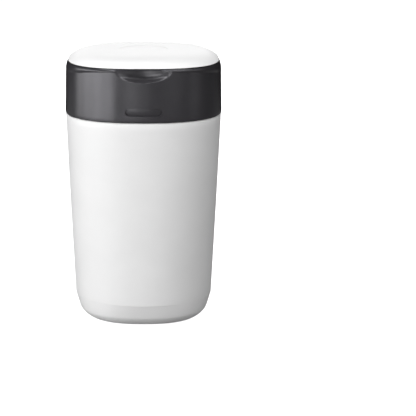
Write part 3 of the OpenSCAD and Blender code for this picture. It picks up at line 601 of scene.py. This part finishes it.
def buildCollar():
    half, low, rim, ledge, lip, inner, top = values(collar, "half low rim ledgeZ lipIn inner innerTop")
    shelf, under = collar["ledge"], ledge - collar["ledgeT"]
    section = [(half - 1.0, low), (half - 0.4, low + 0.25), (half - 0.1, low + 0.7), (collarSkin(341.1), 341.1)]
    section += [(collarSkin(z), z) for z in (346, 352, 359, 366, 374, 382, 388, 393)]
    section += [(collarSkin(z), z) for z in [393.5 + 0.5 * i for i in range(31)]]
    turns = [math.radians(t) for t in range(0, 91, 5)]
    section += [(collar["rimHalf"] + collar["roundW"] * math.cos(t), roundLow + collar["roundH"] * math.sin(t))
        for t in turns]
    section += [(lip + 0.5, rim), (lip + 0.15, rim - 0.1), (lip, rim - 0.4)]
    section += [(lip, rim - 0.4 - 1.1 * i) for i in range(1, 7)] + [(lip - 0.2, ledge + 0.1), (lip - 0.7, ledge)]
    section += [(r, ledge) for r in (116.8, 115.2, 113.6)] + [(shelf, ledge - 0.4), (shelf, under + 0.4)]
    section += [(r, under) for r in (shelf + 0.4, 115.5, 118.0, 121.0, top - 0.4)] + [(top, under - 0.4)]
    section += [(mix(top, inner, (under - z) / (under - low)), z)
        for z in (412, 410, 408, 406, 404, 402, 400, 398, 394, 386, 372, 356, 345)]
    section += [(inner, low + 0.5), (inner + 0.4, low), (half - 1.0, low)]
    piece = turnProfile("collar_shell", section, ((66, 40), (48, 144), (246, 123)))
    flat = [math.hypot(v.co.x, v.co.y) / mm for v in piece.data.vertices]
    squarePlan(piece, collarSquare)
    pressScoop(piece, flat)
    carve(piece, pillPrism("pill_hole", collar["pillW"], collar["pillH"], collar["pillZ"], -131, -117))
    for wide, base, high in ((collar["notchX"], 338, collar["notchTop"]), (collar["lidNotchX"], ledge, 430)):
        carve(piece, block("notch", (-wide, 109.9, base), (wide, 140, high)))
    y, z, barrel, bore = values(tub, "hingeY hingeZ barrel bore")
    wide = collar["barrelHalf"]
    extras = [rodAlongX("knuckle", 0, y, z, barrel, 2 * wide, bore)]
    web = block("web", (-wide, y - 0.5, z), (wide, y + 4.5, z + 9.5))
    carve(web, rodAlongX("bore", 0, y, z, barrel - 0.6, 50))
    extras.append(web)
    y, z, barrel, width = values(collar, "lidHingeY lidHingeZ lidBarrel lidBarrelW")
    for x in (-collar["lidBarrelX"], collar["lidBarrelX"]):
        web = block("web", (x - width / 2, y - 1, ledge - 1), (x + width / 2, y + 2.4, z))
        carve(web, rodAlongX("bore", x, y, z, barrel - 0.6, 30))
        extras += [web, rodAlongX("knuckle", x, y, z, barrel, width, collar["lidBore"])]
    radius, wall, height = values(collar, "bossR bossWall bossH")
    for x, y, z in ringOf(collar["bossAt"], collar["bossLow"] + height / 2, 4, 45):  # the deck's screw bosses
        clearSelection()
        bpy.ops.mesh.primitive_cylinder_add(vertices=40, radius=radius * mm, depth=height * mm,
            end_fill_type="NOTHING", location=(x * mm, y * mm, z * mm))
        boss = takeNew("boss")
        applyModifier(boss, "SOLIDIFY", thickness=wall * mm, offset=-1)
        extras.append(boss)
        carve(piece, shiftPiece(turnProfile("drill", plug(radius - wall, 394, 419), 24), x, y))
    joinTo(piece, extras)
    return piece


collarShell = buildCollar()
finish(collarShell, charcoalAbs, "collar_body", "collar")
print("collar ready", len(collarShell.data.polygons))

# The lid: a thin shell with a pillow top and a shallow round dish
lid = {
    "half": 121.6, "edge": 425.2, "lift": 0.4, "rise": 14.3, "wall": 2.4, "dish": 39.0, "dishDepth": 0.8,
    "rib": 117.1, "ribIn": 114.9, "square": 2.73, "power": 7.4, "armHalf": 19.4,
}


def pillowZ(radius, base):
    return base + lid["rise"] * (1 - (radius / lid["half"]) ** lid["power"])


def lidSquare(radius, z):
    share = min(1, max(0, (radius - 48) / 30))
    return mix(2.0, lid["square"], share * share * (3 - 2 * share))


def buildLid():
    half, edge, rib, ribIn, dish, depth = values(lid, "half edge rib ribIn dish dishDepth")
    top, under = edge + lid["lift"], edge + lid["lift"] - lid["wall"]
    section = [(0, pillowZ(0, under))]
    section += [(s * half, pillowZ(s * half, under)) for s in (0.3, 0.5, 0.62, 0.72, 0.8, 0.86, 0.91)]
    ribTop = pillowZ(ribIn, under)
    section += [(ribIn - 0.3, ribTop), (ribIn, ribTop - 0.4), (ribIn, edge), (rib, edge), (rib, pillowZ(rib, under)),
        (118.9, edge), (half - 0.5, edge), (half - 0.15, edge + 0.12), (half, edge + 0.4)]
    section += [(s * half, pillowZ(s * half, top)) for s in (
        0.998, 0.994, 0.988, 0.98, 0.97, 0.958, 0.944, 0.928, 0.91, 0.89, 0.865, 0.84, 0.81, 0.78, 0.74, 0.7, 0.65,
        0.6, 0.54, 0.48, 0.42, 0.37, 0.34)]
    dishTop = pillowZ(dish, top)
    section += [(dish + 0.7, dishTop), (dish + 0.25, dishTop - 0.06), (dish - 0.2, dishTop - 0.25),
        (dish - 0.75, dishTop - depth + 0.1), (dish - 1.4, dishTop - depth)]
    section += [(r, dishTop - depth) for r in (30, 20, 10, 0)]
    piece = turnProfile("lid_dome", section, 180)
    squarePlan(piece, lidSquare)
    y, z, barrel = values(collar, "lidHingeY lidHingeZ lidBarrel")
    for x in (-collar["lidBarrelX"], collar["lidBarrelX"]):
        carve(piece, rodAlongX("clearance", x, y, z, barrel + 0.6, collar["lidBarrelW"] + 1.2))
    wide = lid["armHalf"]
    arm = block("arm", (-wide, y - 3, z), (wide, y + 1, z + 4))
    carve(arm, rodAlongX("bore", 0, y, z, barrel - 0.6, 50))
    joinTo(piece, [arm, rodAlongX("knuckle", 0, y, z, barrel, 2 * wide, collar["lidBore"])])
    return piece


lidDome = buildLid()
finish(lidDome, whitePolypropylene, "lid_body", "lid_shell")
print("lid ready", len(lidDome.data.polygons))

# The catch: a pill-shaped button whose arm carries the hook
catch = {
    "width": 57.2, "height": 11.2, "face": 124.4, "back": 119.2, "keeperW": 61, "keeperH": 14.4, "keeperY": 121.3,
    "armY": 119.7, "hookHalf": 10, "hookZ": 341.9, "hookH": 3.6, "hookY": 122.9, "hollowY": 122.8,
}


def buildCatch():
    width, height, back, wide, tall = values(catch, "width height back keeperW keeperH")
    half, armY, hookZ = values(catch, "hookHalf armY hookZ")
    z = collar["pillZ"]
    piece = pillPrism("catch_button", width, height, z, -129, -back, 64)
    plan = turnProfile("plan", plug(catch["face"], 330, 380), 240)
    squarePlan(plan, lambda radius, z: collar["square"])
    carve(piece, plan, "INTERSECT")
    roundEdges(piece, 0.8, 4, angle_limit=math.radians(50))
    carve(piece, pillPrism("hollow", width - 5.2, height - 5.2, z, -catch["hollowY"], -116))
    flange = pillPrism("flange", wide, tall, z, -catch["keeperY"], -armY)
    carve(flange, pillPrism("hollow", wide - 9, tall - 8.4, z, -130, -110))
    arm = block("arm", (-half, -armY - 0.8, hookZ), (half, -armY + 3, z), 0.3)
    hook = block("hook", (-half, -catch["hookY"], hookZ), (half, -armY + 0.2, hookZ + catch["hookH"]), 0.5)
    joinTo(piece, [flange, arm, hook])
    return piece


catchButton = buildCatch()
finish(catchButton, charcoalAbs, "catch", "latch_button")
print("catch ready", len(catchButton.data.polygons))

# The lid's inner panel: a stepped disc with a groove for the seal, cut back round the hinge
panel = {"half": 117.1, "low": 422.2, "thick": 2.2, "skirtTop": 425.2, "skirtIn": 114.1, "groove": 108.4}


def squareBeyond(roundTo, squareFrom):
    # round inside one radius, the lid's rounded square outside another
    return lambda radius, z: mix(2.0, collar["lidSquare"], min(1, max(0, (radius - roundTo) / (squareFrom - roundTo))))


def clearHinge(piece, gap):
    # room for the lid's hinge barrel
    carve(piece, rodAlongX("clearance", 0, collar["lidHingeY"], collar["lidHingeZ"], collar["lidBarrel"] + gap,
        collar["hingeWide"]))


def buildPanel():
    half, low, groove, skirtIn, skirtTop = values(panel, "half low groove skirtIn skirtTop")
    top = low + panel["thick"]
    section = [(0, top), (skirtIn, top), (skirtIn, skirtTop - 0.2), (skirtIn + 0.3, skirtTop), (half - 0.3, skirtTop),
        (half, skirtTop - 0.3), (half, low + 0.5), (half - 0.5, low)]
    section += [(112.5, low), (groove + 1.5, low), (groove + 1.2, low + 0.3), (groove + 1.2, low + 1.2),
        (groove - 1.2, low + 1.2), (groove - 1.2, low + 0.3), (groove - 1.5, low)]
    for step in (96, 70, 44):  # shallow pressed rings stiffen the panel
        section += [(step + 1.2, low), (step + 0.6, low + 0.15), (step, low + 0.7), (step - 5, low + 0.7),
            (step - 5.6, low + 0.15), (step - 6.2, low)]
    piece = turnProfile("lid_inner_panel", section + [(0, low)], 180)
    squarePlan(piece, squareBeyond(groove + 1.6, half))
    clearHinge(piece, 1.0)
    return piece


innerPanel = buildPanel()
finish(innerPanel, charcoalAbs, "lid_body", "lid_liner")

# Seal: a round cord with a thin lip that touches the deck's collar
lidSeal = turnProfile("odour_seal", [(107.4, 423.3), (107.3, 422.0), (107.5, 421.4), (107.9, 421.1), (108.1, 420.6),
    (108.4, 420.5), (108.7, 420.6), (108.9, 421.1), (109.3, 421.4), (109.5, 422.0), (109.4, 423.3), (107.4, 423.3)],
    180)
finish(lidSeal, softRubber, "lid_body", "lid_seal", 50)

# The deck: a plate on the collar's ledge with a raised tube round the twist ring
deck = {"half": 118.1, "low": 417.2, "top": 419.5, "tubeIn": 107.2, "tubeOut": 109.6, "tubeLow": 400.2, "lip": 420.2}


def bowlTool(grow):
    steps = [-52 + 4 * i for i in range(27)]
    shape = [(math.sqrt((arc + grow) ** 2 - x * x) - arc + bowl, x) for x in steps]
    tool = turnProfile("bowl", [(0, -52)] + shape + [(0, 52)], 96)
    squarePlan(tool, lambda radius, z: scoop["upright"])  # from a round section to the scoop's more upright one
    tool.rotation_euler = (0, math.pi / 2, 0)
    tool.location = (0, bowlAxis * mm, collar["rim"] * mm)
    applyPlace(tool)
    return tool


def buildDeck():
    half, low, top, tubeIn, tubeOut, tubeLow, lip = values(deck, "half low top tubeIn tubeOut tubeLow lip")
    section = [(tubeIn, tubeLow + 0.4), (tubeIn + 0.4, tubeLow), (tubeOut - 0.4, tubeLow), (tubeOut, tubeLow + 0.4),
        (tubeOut, low - 0.5), (tubeOut + 0.5, low), (112, low), (115, low), (half - 0.3, low), (half, low + 0.3),
        (half, top - 0.5), (half - 0.5, top), (115, top), (112, top), (tubeOut + 0.6, top), (tubeOut + 0.15, top + 0.2),
        (tubeOut, lip - 0.3), (tubeOut - 0.3, lip), (tubeIn + 0.4, lip), (tubeIn, lip - 0.4), (tubeIn, tubeLow + 0.4)]
    piece = turnProfile("deck_plate", section, 180)
    squarePlan(piece, squareBeyond(tubeOut + 0.7, half))
    carve(piece, bowlTool(scoop["wall"] + 0.25))
    clearHinge(piece, 0.6)
    for x, y, z in ringOf(collar["bossAt"], 0, 4, 45):  # countersunk for the screws' heads
        drill = turnProfile("drill", [(0, 416), (1.75, 416), (1.75, 418.2), (3.45, 418.25), (3.55, 421), (0, 421)], 32)
        carve(piece, shiftPiece(drill, x, y))
    return piece


deckPlate = buildDeck()
finish(deckPlate, charcoalAbs, "collar_body", "deck")
print("panel, seal and deck ready")


def buildScrew(name, shank, head, headHeight, length, headDown=True):
    # a pan head with a crossed recess on a tapping shank; z 0 is under the head
    depth = -length + 2.2 * shank
    turned = [(0, -length), (shank * 0.35, -length), (shank, depth)]
    while depth < -1.4:  # the thread's crests
        turned += [(shank, depth), (shank * 0.82, depth + 0.35), (shank * 0.82, depth + 0.5), (shank, depth + 0.8)]
        depth += 1.0
    turned += [(shank, -0.4), (shank, 0), (head, 0), (head, headHeight * 0.45), (head * 0.92, headHeight * 0.75),
        (head * 0.7, headHeight * 0.94), (head * 0.35, headHeight), (0, headHeight)]
    piece = turnProfile(name, turned, 32)
    slot, reach = head * 0.13, head * 0.52
    for x, y in ((reach, slot), (slot, reach)):
        carve(piece, block("cross", (-x, -y, headHeight * 0.35), (x, y, headHeight + 1)))
    if headDown:
        turnPiece(piece, -180, "X")
    return piece


def placeScrews(screw, places, node):
    # one screw modelled, the rest copied with meshes of their own
    copies = [copyPiece(screw, screw.name) for place in places[1:]]
    for piece, place, turn in zip([screw] + copies, places, (0, 24, 61, 40, 8, 75)):
        turnPiece(piece, turn)
        shiftPiece(piece, *place)
    joinTo(screw, copies)
    finish(screw, platedSteel, "collar_body", node, 35)


gripBolts = {"at": 77.5, "count": 6, "first": 22.5}  # the circle of screws under the grip
pawlSeat = (115.4, -24)
placeScrews(buildScrew("deck_screw_set", 1.65, 3.3, 1.1, 9.0, False), ringOf(collar["bossAt"], 418.3, 4, 45),
    "deck_screws")
placeScrews(buildScrew("well_screw_set", 1.7, 3.4, 2.4, 9.0), ringOf(collar["bossAt"], 393.2, 4, 45), "well_screws")
placeScrews(buildScrew("grip_screw_set", 1.4, 2.8, 1.8, 5.8),
    ringOf(gripBolts["at"], 331.9, gripBolts["count"], gripBolts["first"]), "grip_screws")
placeScrews(buildScrew("cutter_screw_set", 1.35, 2.8, 1.8, 11.0), [(-14.6, 96.0, 326.7), (14.6, 96.0, 326.7)],
    "cutter_screws")
pawlScrew = turnProfile("pawl_shoulder_screw", [(0, 393.2), (1.3, 393.2), (1.6, 393.6), (1.6, 398.5), (3.2, 398.5),
    (3.2, 399.3), (2.9, 399.6), (1.5, 399.7), (0, 399.7)], 48)
carve(pawlScrew, block("slot", (-3.0, -0.35, 399.1), (3.0, 0.35, 401)))
shiftPiece(pawlScrew, *pawlSeat)
finish(pawlScrew, platedSteel, "collar_body", "pawl_screw", 35)
pins = {
    "collar_pin": (tub["hingeY"], tub["hingeZ"], 2.5, "collar_hinge_pin", "tub_body"),
    "lid_pin": (collar["lidHingeY"], collar["lidHingeZ"], 1.8, "lid_hinge_pin", "collar_body"),
}
for name, (y, z, radius, node, body) in pins.items():
    pin = rodAlongX(name, 0, y, z, radius, 86.2)
    roundEdges(pin, 0.6)
    finish(pin, platedSteel, body, node)
print("screws and pins ready")

# The twist ring: drum, toothed plate and rim turned in one, with keys, windows and finger tabs added
ring = {
    "drumIn": 97.0, "drumOut": 99.6, "low": 339.7, "plateZ": 396.2, "root": 109.2, "tooth": 111.2, "rimIn": 103.3,
    "rimOut": 106.7, "rimTop": 417.8, "tabTop": 421.2, "tabWidth": 22, "teeth": 36, "tabs": 6, "keys": 8,
    "windowHalf": 9, "windowLow": 348.2, "windowTop": 386.4, "keyIn": 93.9, "keyHalf": 1.9, "keyLow": 374.2,
}


def buildRing():
    inner, outer, low, plate, root = values(ring, "drumIn drumOut low plateZ root")
    rimIn, rimOut, rimTop, tabTop, keys = values(ring, "rimIn rimOut rimTop tabTop keys")
    section = [(inner, low + 0.4), (inner + 0.4, low), (outer - 0.4, low), (outer, low + 0.4)]
    section += [(outer, z) for z in (349, 360, 372, 384, 392, plate - 0.5)] + [(outer + 0.5, plate),
        (root - 0.3, plate), (root, plate + 0.3), (root, plate + 1.7), (root - 0.3, plate + 2),
        (rimOut + 0.5, plate + 2), (rimOut, plate + 2.5), (rimOut, rimTop - 0.8), (rimOut - 0.8, rimTop),
        (rimIn + 0.8, rimTop), (rimIn, rimTop - 0.8), (rimIn, plate + 2.6), (rimIn - 0.6, plate + 2),
        (inner + 0.4, plate + 2), (inner, plate + 1.6)]
    section += [(inner, z) for z in (392, 384, 372, 360, 349, low + 0.4)]
    piece = turnProfile("twist_ring_body", section, 216)
    half, windowLow, windowTop = values(ring, "windowHalf windowLow windowTop")
    window = block("window", (inner - 5, -half, windowLow), (outer + 4.4, half, windowTop))
    roundEdges(window, 3, 4)
    carve(piece, spread(window, keys, 22.5))
    tooth = block("tooth", (root - 0.8, 0, plate + 0.1), (ring["tooth"], 9.0, plate + 1.9))
    for v in tooth.data.vertices:  # steep on one flank, a long ramp on the other
        if v.co.y > 4 * mm:
            v.co.x = min(v.co.x, (root - 0.5) * mm)
        elif v.co.x > 110 * mm:
            v.co.y = 2.2 * mm
    spread(tooth, ring["teeth"])
    wide = ring["tabWidth"] / 2
    tab = block("tab", (rimIn, -wide, rimTop - 1.5), (rimOut, wide, tabTop))
    for v in tab.data.vertices:  # bends the tab to the rim
        v.co.x += (0.5 if v.co.x > 105 * mm else 0.45) * -(v.co.y / mm) ** 2 / 105 * mm
    roundEdges(tab, 0.9, 4)
    for y in (-5, 0, 5):  # three grip grooves
        groove = block("groove", (rimIn - 0.1, y - 0.8, rimTop + 0.9), (rimOut + 0.1, y + 0.8, tabTop + 1), 0.3)
        for v in groove.data.vertices:
            v.co.z = max(v.co.z, (tabTop - 0.7) * mm)
        carve(tab, groove)
    spread(tab, ring["tabs"])
    half = ring["keyHalf"]
    key = block("key", (ring["keyIn"], -half, ring["keyLow"]), (inner + 0.6, half, plate), 0.4)
    joinTo(piece, [tooth, tab, spread(key, keys)])
    return piece


twistRing = buildRing()
finish(twistRing, greyAcetal, "cassette_drive", "twist_ring")
print("twist ring ready", len(twistRing.data.polygons))

# The cassette: tray, sleeve and snap-on cover, each drawn as its section and turned
cassette = {
    "tray": [(66.5, 339.2), (92.6, 339.2), (93.4, 339.4), (94.1, 340.0), (94.5, 341.2)]
        + [(94.5, z) for z in (350, 362, 374, 386, 397.7)]
        + [(95.0, 398.2), (99.2, 398.2), (99.5, 398.5), (99.5, 400.2), (92.5, 400.2)]
        + [(92.5, z) for z in (386, 374, 362, 350, 341.8)] + [(91.9, 341.2), (66.5, 341.2), (66.5, 339.2)],
    "throat": [(64.5, 339.5), (64.8, 339.2), (66.2, 339.2), (66.5, 339.5)]
        + [(66.5, z) for z in (355, 375, 395, 417.0)]
        + [(66.8, 417.6), (67.6, 418.1), (67.9, 418.5), (67.8, 418.9), (67.3, 419.2), (65.4, 419.2), (64.8, 418.9)]
        + [(64.5, z) for z in (418.3, 395, 375, 355, 339.5)],
    "cover": [(99.9, 398.2), (102.2, 398.2), (102.5, 398.5), (102.5, 404), (102.5, 409.6), (102.3, 410.4),
        (101.7, 411.0), (100.9, 411.2), (91.6, 411.2), (91.1, 410.9), (91.0, 410.4), (91.0, 407.6), (91.3, 407.2),
        (92.5, 407.2), (92.8, 407.5), (92.8, 408.8), (93.2, 409.2), (99.4, 409.2), (99.9, 408.7), (99.9, 398.2)],
    "flutes": 8, "notches": 12,
}
cassetteBody = turnProfile("cassette_tray", cassette["tray"], 192)
carve(cassetteBody, spread(block("flute", (93.4, -2.4, 338), (99, 2.4, 398.0), 0.6), cassette["flutes"]))
cassetteSleeve = turnProfile("cassette_throat", cassette["throat"], 192)
cassetteCover = turnProfile("cassette_lid_ring", cassette["cover"], 216)
carve(cassetteCover, spread(block("notch", (100.9, -5, 401.2), (105, 5, 405.2), 0.7), cassette["notches"]))
for piece, node in ((cassetteBody, "body"), (cassetteSleeve, "sleeve"), (cassetteCover, "cover")):
    finish(piece, blackAbs, "cassette_drive", "cassette_" + node)

# Film: a ring of folded tube, its pleats standing up between sleeve and cover
film = {"in": 67.6, "out": 90.4, "low": 341.3, "top": 407.4, "pleatsFrom": 405.5, "pleats": 58, "minorPleats": 97}
filmPack = turnProfile("pleated_film", [(film["in"], film["low"]), (90.3, film["low"])]
    + [(film["out"], z) for z in (345, 365, 385, 400, 404)] + [(90.3, 406.2), (89.6, 407.2)]
    + [(88.6 - 1.25 * i, film["top"]) for i in range(16)] + [(68.6, 407.2), (67.8, 406.0)]
    + [(film["in"], z) for z in (395, 370, 350, film["low"])], 480)
for v in filmPack.data.vertices:
    radius, turn = math.hypot(v.co.x, v.co.y), math.atan2(v.co.y, v.co.x)
    if v.co.z < film["pleatsFrom"] * mm:
        continue
    across = (radius / mm - film["in"]) / (film["out"] - film["in"])
    wander = 0.9 * math.sin(5 * turn + 4 * across) + 0.6 * math.sin(11 * turn + 1.3)
    wander += 0.35 * math.sin(17 * turn - 6 * across)
    fold = math.sin(film["pleats"] * turn + 2.4 * wander + 5 * across)
    fold += 0.45 * math.sin(film["minorPleats"] * turn - 3 * wander)
    sag = math.sin(math.pi * min(1, max(0, across)))
    v.co.z += (0.9 * fold * (0.4 + 0.6 * sag) + 0.5 * wander * sag + 0.6) * mm
filmPack.data.update()
finish(filmPack, pleatedFilm, "cassette_drive", "film_pack", 80)
print("cassette ready")

# Grip: a ring of soft fingers on its clamp
grip = {
    "z": 335.7, "thick": 1.6, "mouth": 70.0, "outer": 82.0, "length": 34, "slope": 24, "fingers": 8, "skin": 1.2,
    "tipWidth": 0.42, "roundFrom": 0.82,
}


def boltHoles(radius, low, high):
    # drills for the screws under the grip, all in one
    drill = shiftPiece(turnProfile("drill", plug(radius, low, high), 24), gripBolts["at"], 0)
    return spread(drill, gripBolts["count"], gripBolts["first"])


def buildGrip():
    g = grip
    mouth, outer, top, low = g["mouth"], g["outer"], g["z"], g["z"] - g["thick"]
    base = turnProfile("grip_ring", [(mouth, top - 1.3), (mouth + 0.3, low), (outer - 0.3, low), (outer, top - 1.3),
        (outer, top - 0.2), (outer - 0.2, top), (mouth + 0.3, top), (mouth, top - 0.3), (mouth, top - 1.3)])
    clearSelection()
    bpy.ops.mesh.primitive_grid_add(x_subdivisions=26, y_subdivisions=12, size=2 * mm, location=(0, 0, 0))
    tongue = bpy.context.object
    rootHalf, slope = mouth * math.tan(math.pi / g["fingers"]) - 2, math.radians(g["slope"])
    for v in tongue.data.vertices:  # the grid's corners run from -1 to 1 mm: along the finger and across it
        along, side = min(1, max(0, (v.co.x / mm + 1) / 2)), v.co.y / mm
        tip = max(0, (along - g["roundFrom"]) / (1 - g["roundFrom"]))
        half = mix(rootHalf, rootHalf * g["tipWidth"], along ** 0.9) * math.sqrt(max(0.0, 1 - tip ** 2) * 0.9 + 0.1)
        reach = g["length"] * along
        drop = reach * math.sin(slope) * (0.86 + 0.14 * along)
        v.co.x = (mouth + 1.2 - reach * math.cos(slope)) * mm
        v.co.y = side * half * mm
        v.co.z = (top - 0.9 - drop + 0.5 * side * side * along) * mm
    applyModifier(tongue, "SOLIDIFY", thickness=g["skin"] * mm, offset=0)
    roundEdges(tongue, 0.35, 2, angle_limit=math.radians(60))
    spread(tongue, g["fingers"])
    carve(base, boltHoles(1.5, 333, 337))
    joinTo(base, [tongue])
    return base


gripRing = buildGrip()
finish(gripRing, softRubber, "collar_body", "grip_fingers", 45)
gripClamp = turnProfile("grip_clamp_ring", [(73.0, 332.3), (73.4, 331.9), (81.6, 331.9), (82.0, 332.3), (82.0, 333.9),
    (81.8, 334.1), (73.2, 334.1), (73.0, 333.9), (73.0, 332.3)])
carve(gripClamp, boltHoles(1.45, 331, 335))
finish(gripClamp, charcoalAbs, "collar_body", "grip_clamp")

# The well: the fixed cup under the ring, with its shelf, arms and pads
well = {
    "inner": 100.1, "outer": 102.7, "mouth": 70.0, "floor": 335.7, "floorT": 2.5, "shelf": 393.2, "shelfT": 2.6,
    "flange": 118.7, "lugR": 6, "lugBore": 1.8, "padHalf": 6, "padLow": 345.7, "padTop": 357.7,
    "padAt": (-104.7, -99.9), "stopAt": (110.0, -39),
}


def buildWell():
    inner, outer, floor, shelf, flange, mouth = values(well, "inner outer floor shelf flange mouth")
    floorTop, shelfTop = floor + well["floorT"], shelf + well["shelfT"]
    section = [(mouth, floor + 0.3)] + [(r, floor) for r in (mouth + 0.3, 76, 88, outer - 1.2)]
    section += [(outer - 0.3, floor + 0.3), (outer, floor + 1.2)]
    section += [(outer, z) for z in (348, 360, 372, 384, shelf - 1.0)] + [(outer + 1.0, shelf),
        (flange - 0.3, shelf), (flange, shelf + 0.3), (flange, shelfTop - 0.4), (flange - 0.4, shelfTop),
        (inner + 0.4, shelfTop), (inner, shelfTop - 0.4)]
    section += [(inner, z) for z in (384, 372, 360, 348, floorTop + 0.4)]
    section += [(r, floorTop) for r in (inner - 0.4, 88, 76, mouth + 0.3)]
    section += [(mouth, floorTop - 0.3), (mouth, floor + 0.3)]
    piece = turnProfile("fixed_well", section, 192)
    at, radius = collar["bossAt"], well["lugR"]
    clearSelection()
    bpy.ops.mesh.primitive_cylinder_add(vertices=48, radius=radius * mm, depth=well["shelfT"] * mm,
        location=(at * mm, 0, (shelf + well["shelfT"] / 2) * mm))
    lug = takeNew("lug")
    carve(lug, block("arm", (101.5, -radius, shelf), (at, radius, shelfTop)), "UNION")
    roundEdges(lug, 0.3, 2)
    carve(lug, shiftPiece(turnProfile("drill", plug(well["lugBore"], 390, 398), 24), at, 0))
    spread(lug, 4, 45)
    carve(piece, boltHoles(1.45, 334, 340))
    wide, (front, back) = well["padHalf"], well["padAt"]
    pad = block("spring_pad", (-wide, front, well["padLow"]), (wide, back, well["padTop"]), 0.5)
    carve(pad, turnProfile("plan", plug(101.4, 330, 370), 96))
    bracket = turnProfile("pawl_bracket", [(1.65, 393.2), (5.3, 393.2), (5.6, 393.5), (5.6, 395.5), (5.3, 395.8),
        (1.65, 395.8), (1.65, 393.2)], 48)
    post = turnProfile("pawl_stop", [(0, 395.4), (1.4, 395.4), (1.4, 397.9), (1.1, 398.2), (0, 398.2)], 32)
    joinTo(piece, [lug, pad, shiftPiece(bracket, *pawlSeat), shiftPiece(post, *well["stopAt"])])
    return piece


fixedWell = buildWell()
finish(fixedWell, charcoalAbs, "collar_body", "cassette_well")
print("grip and well ready")

# Carried from the CAD as they are, in their own materials
for name, material in (("click_pawl", greyAcetal), ("cutter_guard", charcoalAbs), ("cutter_blade", platedSteel),
        ("latch_spring", platedSteel)):
    dress(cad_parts[name], material)
